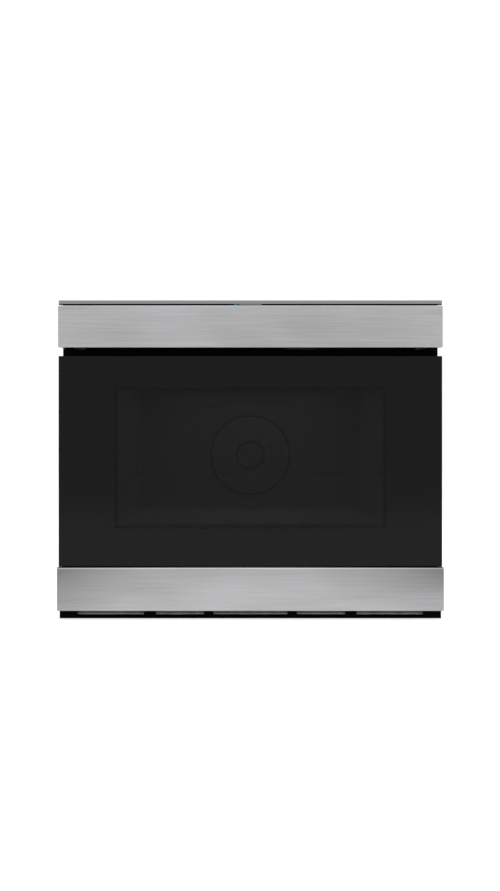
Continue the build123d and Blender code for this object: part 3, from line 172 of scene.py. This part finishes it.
# ---------------------------------------------------------------- exhaust duct
# A bent sheet of passivated zinc-coated steel behind the vent turns the oven's warm air down and
# out. The passivation leaves it dull. Its colour carries painted shade: lighter at its foot and
# darker towards its upper part, where the strip above overhangs it.
duct_low, duct_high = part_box("exhaust_duct")
passivated = new_finish("passivated_zinc_steel", "7e8082", {"Roughness": 0.95, "Metallic": 1.0})
duct_place = add(passivated, "ShaderNodeTexCoord", {}, {})
duct_axes = add(passivated, "ShaderNodeSeparateXYZ", {}, {"Vector": duct_place.outputs["Object"]})
# painted shade: the sheet is painted darker from its foot towards its top
duct_painted_shade = add(passivated, "ShaderNodeMapRange",
                {"From Min": duct_low[2], "From Max": duct_high[2]},
                {"Value": duct_axes.outputs["Z"]})
lay(passivated, duct_painted_shade.outputs["Result"], tones=((0.05, "c0c2c4"), (0.4, "7e8082")))
lay(passivated, pattern(passivated, cells, (9.0, 9.0, 9.0), {}), rough=(0.9, 1.0))
dress(passivated, "exhaust_duct")

# ---------------------------------------------------------------- oven cavity and drawer tub
# The cavity is a welded sleeve of steel, and the tub that slides into it is pressed. Both have a
# baked grey vitreous enamel, smooth and glossy with a slight orange peel about 4 mm apart.
enamel = new_finish("grey_vitreous_enamel", "aeaeab", {"Roughness": 0.18, "IOR": 1.55})
lay(enamel, pattern(enamel, grain, (4.0, 4.0, 4.0), {"Detail": 1.0}), relief=0.02)
dress(enamel, "oven_cavity", "drawer_tub")

# ---------------------------------------------------------------- stirrer cover
# A disc of pressed mica closes the opening in the cavity's ceiling and lets the waves through.
# Its flakes, about 5 mm across, show as pale and darker patches.
mica = new_finish("pressed_mica", "c0b69c", {"Roughness": 0.5, "IOR": 1.58})
lay(mica, pattern(mica, cells, (5.0, 5.0, 5.0), {}), tones=((0.0, "b3a88c"), (1.0, "cbc3ac")))
dress(mica, "stirrer_cover")

# ---------------------------------------------------------------- aluminium parts
# The stirrer's paddle, the magnetron with its fins, the capacitor's can and the convection fan's
# wheel are plain aluminium sheet. Rolling leaves long faint lines about 1.5 mm apart.
mill_aluminium = new_finish("mill_finish_aluminium", "c4c6c8",
                            {"Roughness": 0.38, "Metallic": 1.0})
lay(mill_aluminium, pattern(mill_aluminium, grain, (30.0, 1.5, 1.5), {"Detail": 3.0}),
    rough=(0.3, 0.46))
dress(mill_aluminium, "stirrer_antenna", "magnetron", "convection_fan_wheel", "hv_capacitor")

# ---------------------------------------------------------------- motors, slides and latch hooks
# The motors' cans are drawn from steel, the slides rolled and the hooks stamped from it, and all
# have a thin bright zinc plate. The tools leave faint lines about 1.2 mm apart.
plain_steel = new_finish("bright_plated_steel", "a6a7a9", {"Roughness": 0.34, "Metallic": 1.0})
lay(plain_steel, pattern(plain_steel, grain, (1.2, 12.0, 1.2), {"Detail": 3.0}),
    rough=(0.28, 0.42))
dress(plain_steel, "stirrer_motor", "convection_motor", "drive_motor", "latch_hooks",
      *[f"slide_{member}_{side}" for member in ("outer", "middle", "inner")
        for side in ("left", "right")])

# ---------------------------------------------------------------- inner sheet parts
# The waveguide, the chamber behind the cavity, the carriage that ties the slides together, and
# the brackets of the drive motor and the switches are bent from the same galvanised sheet as
# the case.
dress(galvanised, "waveguide", "convection_chamber", "carriage_frame", "drive_motor_bracket",
      "interlock_bracket")

# ---------------------------------------------------------------- ring heater
# A tube of nickel alloy is bent into a ring round the convection fan. Heat has turned it a dull
# brown grey, with patches of scale about 6 mm across.
scaled_alloy = new_finish("heat_dulled_nickel_alloy", "5c5a57",
                          {"Roughness": 0.55, "Metallic": 1.0})
lay(scaled_alloy, pattern(scaled_alloy, grain, (6.0, 6.0, 6.0), {"Detail": 3.0}),
    tones=((0.35, "4b4845"), (0.65, "6d6b67")))
dress(scaled_alloy, "heating_element")

# ---------------------------------------------------------------- transformer
# A stack of steel laminations and its coils are dipped in brown varnish. The sheets' edges show
# through it as lines, drawn 1 mm apart so that they show.
varnish = new_finish("varnished_laminations", "3c3129", {"Roughness": 0.4})
lay(varnish, pattern(varnish, grain, (40.0, 1.0, 40.0), {"Detail": 2.0}),
    tones=((0.35, "302721"), (0.65, "4a3d33")))
dress(varnish, "hv_transformer")

# ---------------------------------------------------------------- circuit boards
# The power board, the noise filter and the panel's board are glass-fibre laminate under a green
# lacquer. The weave below it gives the lacquer a faint mottle, about 3 mm apart.
lacquer = new_finish("lacquered_glass_fibre_board", "1d5a37", {"Roughness": 0.35})
lay(lacquer, pattern(lacquer, grain, (3.0, 3.0, 3.0), {"Detail": 2.0}),
    tones=((0.35, "184d2f"), (0.65, "23683f")))
dress(lacquer, "power_board", "noise_filter", "panel_display_board")

# ---------------------------------------------------------------- drive gears, switches and lamp
# The rack and pinion that move the drawer, the interlock switches with their plungers and the
# lamp's holder are moulded in pale grey polypropylene, with a matt grain about 1 mm apart.
moulded_grey = new_finish("moulded_grey_polypropylene", "c9c8c4",
                          {"Roughness": 0.5, "IOR": 1.49})
lay(moulded_grey, pattern(moulded_grey, grain, (1.0, 1.0, 1.0), {"Detail": 2.0}), relief=0.03)
dress(moulded_grey, "drive_rack", "drive_pinion", "interlock_switches", "switch_plunger_left",
      "switch_plunger_right", "oven_lamp")

# ---------------------------------------------------------------- fan cover
# The cover over the convection fan is stamped from stainless sheet, with a dull rolled surface.
# The edge of its rim and of its middle eye carry painted shade: rings about 3 mm wide, painted a
# darker brown grey along the pressed folds.
cover_low, cover_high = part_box("fan_cover")
cover_middle = (0.0, cover_low[1], (cover_low[2] + cover_high[2]) / 2)
cover_radius = (cover_high[0] - cover_low[0]) / 2
bare, cover_fold_shade = "c4c3bf", "6f6a62"
stamped_steel = new_finish("stamped_stainless", bare, {"Roughness": 0.6, "Metallic": 1.0})
cover_place = add(stamped_steel, "ShaderNodeTexCoord", {}, {})
cover_out = add(stamped_steel, "ShaderNodeVectorMath", {"operation": 'DISTANCE', 1: cover_middle},
                {0: cover_place.outputs["Object"]})
cover_share = add(stamped_steel, "ShaderNodeMapRange", {"From Max": cover_radius},
                  {"Value": cover_out.outputs["Value"]})
# painted shade: darker rings at the folds of the rim and of the middle eye
lay(stamped_steel, cover_share.outputs["Result"],
    tones=((0.31, bare), (0.32, cover_fold_shade), (0.355, cover_fold_shade), (0.365, bare),
           (0.955, bare), (0.965, cover_fold_shade)))
lay(stamped_steel, pattern(stamped_steel, grain, (2.0, 2.0, 2.0), {"Detail": 2.0}),
    rough=(0.5, 0.7))
dress(stamped_steel, "fan_cover")

# ---------------------------------------------------------------- drawer floor
# A plate of glazed ceramic lies loose on the tub's floor. The glaze is pale and glossy, with a
# fine speckle about 2 mm apart.
glazed_ceramic = new_finish("glazed_ceramic", "dddbd2", {"Roughness": 0.16, "IOR": 1.52})
lay(glazed_ceramic, pattern(glazed_ceramic, grain, (2.0, 2.0, 2.0), {"Detail": 2.0}),
    tones=((0.3, "d3d1c8"), (0.6, "e0ded6")))
dress(glazed_ceramic, "floor_plate")

# ---------------------------------------------------------------- inner window
# The door's inner pane is clear float glass. The screen in front of it is black steel sheet,
# etched with holes too fine to show, so that it is drawn as a thin dark veil.
float_glass = new_finish("clear_float_glass", "dfe8e4",
                         {"Roughness": 0.03, "IOR": 1.52, "Alpha": 0.04})
dress(float_glass, "inner_window_glass")
pierced_steel = new_finish("pierced_black_steel", "0c0c0d",
                           {"Roughness": 0.45, "Specular IOR Level": 0.0, "Alpha": 0.1})
dress(pierced_steel, "door_screen")

# ---------------------------------------------------------------- door glass
# Tempered glass 4 mm thick, tinted nearly black and polished. A border of black ceramic ink is
# fired on round the window, fading out over 4 mm in dots too fine to show. Inside it the tint
# lies at the front face alone, and a little of the drawer shows through.
window_low, window_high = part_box("inner_window_glass")
window_middle = ((window_low[0] + window_high[0]) / 2, 0.0, (window_low[2] + window_high[2]) / 2)
window_reach = ((window_high[0] - window_low[0]) / 2, 1.0, (window_high[2] - window_low[2]) / 2)
ink_fade, ink_start = 0.004, 0.0004
glass_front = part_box("door_glass")[0][1]
tint_share, tint_full, tint_end = 0.8, 0.001, 0.003
tinted_glass = new_finish("black_tinted_tempered_glass", "050506",
                          {"Roughness": 0.03, "IOR": 1.52, "Specular IOR Level": 0.13})
glass_place = add(tinted_glass, "ShaderNodeTexCoord", {}, {})
glass_off = add(tinted_glass, "ShaderNodeVectorMath",
                {"operation": 'SUBTRACT', 1: window_middle}, {0: glass_place.outputs["Object"]})
glass_far = add(tinted_glass, "ShaderNodeVectorMath", {"operation": 'ABSOLUTE'},
                {0: glass_off.outputs["Vector"]})
glass_past = add(tinted_glass, "ShaderNodeVectorMath",
                 {"operation": 'SUBTRACT', 1: window_reach}, {0: glass_far.outputs["Vector"]})
past_axes = add(tinted_glass, "ShaderNodeSeparateXYZ", {},
                {"Vector": glass_past.outputs["Vector"]})
past_most = add(tinted_glass, "ShaderNodeMath", {"operation": 'MAXIMUM'},
                {0: past_axes.outputs["X"], 1: past_axes.outputs["Z"]})
glass_ink = add(tinted_glass, "ShaderNodeMapRange", {"From Min": -ink_fade, "From Max": ink_start},
                {"Value": past_most.outputs["Value"]})
glass_axes = add(tinted_glass, "ShaderNodeSeparateXYZ", {},
                 {"Vector": glass_place.outputs["Object"]})
glass_tint = add(tinted_glass, "ShaderNodeMapRange",
                 {"From Min": glass_front + tint_full, "From Max": glass_front + tint_end,
                  "To Min": tint_share, "To Max": 0.0},
                 {"Value": glass_axes.outputs["Y"]})
glass_body = add(tinted_glass, "ShaderNodeMath", {"operation": 'MAXIMUM'},
                 {0: glass_ink.outputs["Result"], 1: glass_tint.outputs["Result"]})
feed(tinted_glass, glass_body.outputs["Value"], "Alpha")
dress(tinted_glass, "door_glass")

# ---------------------------------------------------------------- panel fascia
# The fascia is folded stainless sheet, brushed along its length. The grain is about 0.1 mm wide,
# drawn 1.1 mm wide so that it shows, and broad faint bands lie over it. The grain stretches
# reflections across its own direction.
brush_share, band_share = 0.55, 0.45
brushed_stainless = new_finish("brushed_stainless", "a6a6a7",
                               {"Roughness": 0.34, "Metallic": 1.0, "Anisotropic": 0.7,
                                "Anisotropic Rotation": 0.25})
brush = pattern(brushed_stainless, grain, (110.0, 4.0, 1.1), {"Detail": 4.0, "Roughness": 0.6})
bands = pattern(brushed_stainless, grain, (170.0, 60.0, 60.0), {"Detail": 1.0})
brush_part = add(brushed_stainless, "ShaderNodeMath",
                 {"operation": 'MULTIPLY', 1: brush_share}, {0: brush})
brush_tone = add(brushed_stainless, "ShaderNodeMath",
                 {"operation": 'MULTIPLY_ADD', 1: band_share},
                 {0: bands, 2: brush_part.outputs["Value"]})
lay(brushed_stainless, brush_tone.outputs["Value"], tones=((0.34, "969695"), (0.66, "ababae")))
lay(brushed_stainless, brush, rough=(0.3, 0.42))
grain_run = add(brushed_stainless, "ShaderNodeTangent",
                {"direction_type": 'RADIAL', "axis": 'Z'}, {})
feed(brushed_stainless, grain_run.outputs["Tangent"], "Tangent")
dress(brushed_stainless, "panel_fascia")

# ---------------------------------------------------------------- strip under the door
# The strip is folded from the same brushed sheet. Light is painted into its colour: it is painted
# lighter towards its middle and its foot, with a painted highlight along the bend at its top and
# painted shade on the fold just above that bend.
strip_low, strip_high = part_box("door_bottom_trim")
strip_foot, strip_top = strip_low[2], strip_high[2]
strip_stainless = brushed_stainless.copy()
strip_stainless.name = "brushed_stainless_strip_painted_light"
strip_shader = strip_stainless.node_tree.nodes["Principled BSDF"]
strip_tone = strip_shader.inputs["Base Color"].links[0].from_socket
strip_place = add(strip_stainless, "ShaderNodeTexCoord", {}, {})
strip_axes = add(strip_stainless, "ShaderNodeSeparateXYZ", {},
                 {"Vector": strip_place.outputs["Object"]})
# painted light and shade by height: lighter at the foot, a highlight on the bend, shade on the
# fold
painted_strip_marks = {}
for name, start, end, start_value, end_value in (
        ("mean", strip_foot, strip_top, 1.16, 0.95),
        ("ends", strip_foot, strip_top, 0.22, 0.5),
        ("bend", strip_top - 0.0026, strip_top - 0.0014, 0.0, 0.55),
        ("fold", strip_top - 0.001, strip_top - 0.0003, 0.0, 0.9)):
    rise = add(strip_stainless, "ShaderNodeMapRange",
               {"From Min": start, "From Max": end, "To Min": start_value, "To Max": end_value},
               {"Value": strip_axes.outputs["Z"]})
    painted_strip_marks[name] = rise.outputs["Result"]
# painted shade, darker towards both ends of the strip
strip_out = add(strip_stainless, "ShaderNodeMath", {"operation": 'MULTIPLY'},
                {0: strip_axes.outputs["X"], 1: strip_axes.outputs["X"]})
strip_end = add(strip_stainless, "ShaderNodeMapRange", {"From Max": strip_high[0] ** 2},
                {"Value": strip_out.outputs["Value"]})
strip_end_shade = add(strip_stainless, "ShaderNodeMath", {"operation": 'MULTIPLY'},
                {0: strip_end.outputs["Result"], 1: painted_strip_marks["ends"]})
strip_level = painted_strip_marks["mean"]
for operation, part in (('SUBTRACT', strip_end_shade.outputs["Value"]), ('ADD', painted_strip_marks["bend"]),
                        ('SUBTRACT', painted_strip_marks["fold"])):
    strip_sum = add(strip_stainless, "ShaderNodeMath", {"operation": operation},
                    {0: strip_level, 1: part})
    strip_level = strip_sum.outputs["Value"]
# the painted light and shade multiply the brushed tone
strip_mix = add(strip_stainless, "ShaderNodeMix",
                {"data_type": 'RGBA', "blend_type": 'MULTIPLY', 0: 1.0},
                {6: strip_tone, 7: strip_level})
feed(strip_stainless, strip_mix.outputs[2], "Base Color")
dress(strip_stainless, "door_bottom_trim")

# ---------------------------------------------------------------- top trim
# A folded strip of satin-finished steel closes the gap between the case and the cabinet. The
# fine lines of its finish run along its length, drawn 0.9 mm apart so that they show.
satin_trim = new_finish("satin_trim_steel", "808284", {"Roughness": 0.4, "Metallic": 1.0})
lay(satin_trim, pattern(satin_trim, grain, (80.0, 3.0, 0.9), {"Detail": 3.0}),
    rough=(0.34, 0.48))
dress(satin_trim, "top_trim")

# ---------------------------------------------------------------- trim seal
# An extruded strip of black EPDM rubber under the top trim closes the slot above the panel. It
# scatters almost nothing back, so that its near-black colour also stands as painted shade in the
# gap between trim and panel, and a faint bloom makes its gloss uneven along its length.
black_rubber_gap_shade = new_finish("black_epdm_rubber_gap_shade", "020202",
                          {"Roughness": 0.8, "Specular IOR Level": 0.04})
lay(black_rubber_gap_shade, pattern(black_rubber_gap_shade, grain, (20.0, 1.0, 1.0), {"Detail": 2.0}),
    rough=(0.65, 0.8))
dress(black_rubber_gap_shade, "trim_seal")

# ---------------------------------------------------------------- status light
# A light pipe of clear blue acrylic sits in the gap under the trim, in front of a lit diode. It
# is polished, and glows a pale blue.
blue_pipe = new_finish("blue_acrylic_light_pipe", "14698a",
                       {"Roughness": 0.2, "IOR": 1.49, "Emission Color": linear("3fa6cf"),
                        "Emission Strength": 0.15})
dress(blue_pipe, "status_light")

# ---------------------------------------------------------------- panel housing
# The housing behind the fascia is moulded in black ABS, whose etched grain, about 0.9 mm apart,
# leaves it matt.
black_abs = new_finish("moulded_black_abs", "060607",
                       {"Roughness": 0.45, "IOR": 1.54, "Specular IOR Level": 0.15})
lay(black_abs, pattern(black_abs, grain, (0.9, 0.9, 0.9), {"Detail": 3.0}), relief=0.03)
dress(black_abs, "panel_housing")

# ---------------------------------------------------------------- hinge pins
# Two turned steel pins carry the panel. They are chemically blackened, and the oxide's gloss
# varies slightly over about 1.5 mm.
blackened = new_finish("blackened_steel", "101012", {"Roughness": 0.5, "Metallic": 1.0})
lay(blackened, pattern(blackened, grain, (1.5, 1.5, 1.5), {"Detail": 2.0}), rough=(0.42, 0.58))
dress(blackened, "panel_hinge_pins")

# ---------------------------------------------------------------- touch glass
# The touch glass lies on the housing's upper slope. It is polished in front and printed black
# on its back, so that it looks black and glossy all over.
black_glass = new_finish("black_backed_touch_glass", "060607", {"Roughness": 0.05, "IOR": 1.52})
dress(black_glass, "touch_glass")

# ---------------------------------------------------------------- printed keys
# Ten number keys, a clock reading and plain plus and minus signs are printed on the touch glass
# in white ceramic ink, which is slightly rough. They are read from in front once the panel is
# tipped out.
touch_low, touch_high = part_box("touch_glass")
touch_slope = radians(17.0)
touch_thickness = 0.003
print_lift = 0.00004
print_front = touch_low[1] + (touch_thickness + print_lift) * sin(touch_slope)
print_top = touch_high[2] + print_lift * cos(touch_slope)
white_ink = new_finish("white_ceramic_ink", "d9dcdd", {"Roughness": 0.5})
lay(white_ink, pattern(white_ink, grain, (0.6, 0.6, 0.6), {"Detail": 2.0}), rough=(0.4, 0.6))


def print_sign(sign, x, down, height):
    """One sign on the touch glass, this far down its slope from the front edge, in metres."""
    bpy.ops.object.select_all(action='DESELECT')
    bpy.ops.object.text_add()
    text = bpy.context.object
    letters = [letter if letter.isalnum() else "_" for letter in sign]
    text.name = "key_" + "".join(letters) + "_print"
    text.data.body = sign
    text.data.size = height
    text.data.resolution_u = 3
    text.data.align_x = 'CENTER'
    text.data.align_y = 'CENTER'
    bpy.ops.object.convert(target='MESH')
    text.rotation_euler = (-touch_slope, 0.0, 0.0)
    text.location = (x, print_front + down * cos(touch_slope), print_top - down * sin(touch_slope))
    bpy.ops.object.transform_apply(location=True, rotation=True, scale=True)
    text.data.materials.append(white_ink)
    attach(text, "control_panel")


first_key, key_pitch, keys_in_row = 0.05, 0.032, 5
first_row, row_pitch, number_height = 0.016, 0.019, 0.011
first_sign, sign_pitch, sign_height = -0.14, 0.035, 0.013
middle_row, clock_middle, clock_height = 0.026, -0.03, 0.018
for place, number in enumerate("1234567890"):
    row, column = divmod(place, keys_in_row)
    print_sign(number, first_key + key_pitch * column, first_row + row_pitch * row, number_height)
for place, sign in enumerate("+-"):
    print_sign(sign, first_sign + sign_pitch * place, middle_row, sign_height)
print_sign("12:00", clock_middle, middle_row, clock_height)

# ---------------------------------------------------------------- studio
# A wide sheet of white paper lies under the object in a white room, with a soft lamp overhead,
# two at the sides and a weak one inside the oven. The camera, reflections and clear glass see
# paper and room as white, and the paper keeps the object's shadow.
floor_size, floor_drop = 14.0, 0.0005
paper_glow, room_light, room_seen = 0.5, 0.6, 1.04


def seen_share(material):
    """1 for a ray from the camera, from a reflection or through clear glass, and 0 for others."""
    rays = add(material, "ShaderNodeLightPath", {}, {})
    seen = add(material, "ShaderNodeMath", {"operation": 'MAXIMUM'},
               {0: rays.outputs["Is Camera Ray"], 1: rays.outputs["Is Glossy Ray"]})
    seen_too = add(material, "ShaderNodeMath", {"operation": 'MAXIMUM'},
                   {0: seen.outputs["Value"], 1: rays.outputs["Is Transmission Ray"]})
    return seen_too.outputs["Value"]


bpy.ops.object.select_all(action='DESELECT')
bpy.ops.mesh.primitive_plane_add(size=floor_size, location=(0.0, 0.0, -floor_drop))
floor = bpy.context.object
floor.name = "studio_floor"
bpy.ops.object.transform_apply()
paper = new_finish("white_paper_sweep", "f4f4f4",
                   {"Roughness": 0.9, "IOR": 1.45, "Emission Color": linear("ffffff")})
glow = add(paper, "ShaderNodeMath", {"operation": 'MULTIPLY', 1: paper_glow},
           {0: seen_share(paper)})
feed(paper, glow.outputs["Value"], "Emission Strength")
floor.data.materials.append(paper)

room = bpy.data.worlds.new("studio")
bpy.context.scene.world = room
room.use_nodes = True
room.node_tree.nodes["Background"].inputs["Color"].default_value = linear("ffffff")
room_level = add(room, "ShaderNodeMapRange", {"To Min": room_light, "To Max": room_seen},
                 {"Value": seen_share(room)})
feed(room, room_level.outputs["Result"], "Strength", shader="Background")

# each lamp's name, place in metres, turn in degrees, width in metres and power in watts
for lamp_name, lamp_place, lamp_turn, lamp_width, lamp_power in (
        ("overhead", (0.0, -0.9, 2.2), (25.0, 0.0, 0.0), 2.4, 22.0),
        ("left", (-1.8, -1.6, 1.1), (65.0, 0.0, -48.0), 1.4, 9.0),
        ("right", (1.8, -1.6, 1.1), (65.0, 0.0, 48.0), 1.4, 9.0),
        ("cavity", (0.0, -0.07, 0.383), (0.0, 0.0, 0.0), 0.34, 0.078)):
    lamp_data = bpy.data.lights.new(lamp_name, 'AREA')
    lamp_data.shape = 'SQUARE'
    lamp_data.size = lamp_width
    lamp_data.energy = lamp_power
    soft_lamp = bpy.data.objects.new(lamp_name, lamp_data)
    soft_lamp.location = lamp_place
    soft_lamp.rotation_euler = [radians(turn) for turn in lamp_turn]
    soft_lamp.visible_camera = False
    bpy.context.scene.collection.objects.link(soft_lamp)
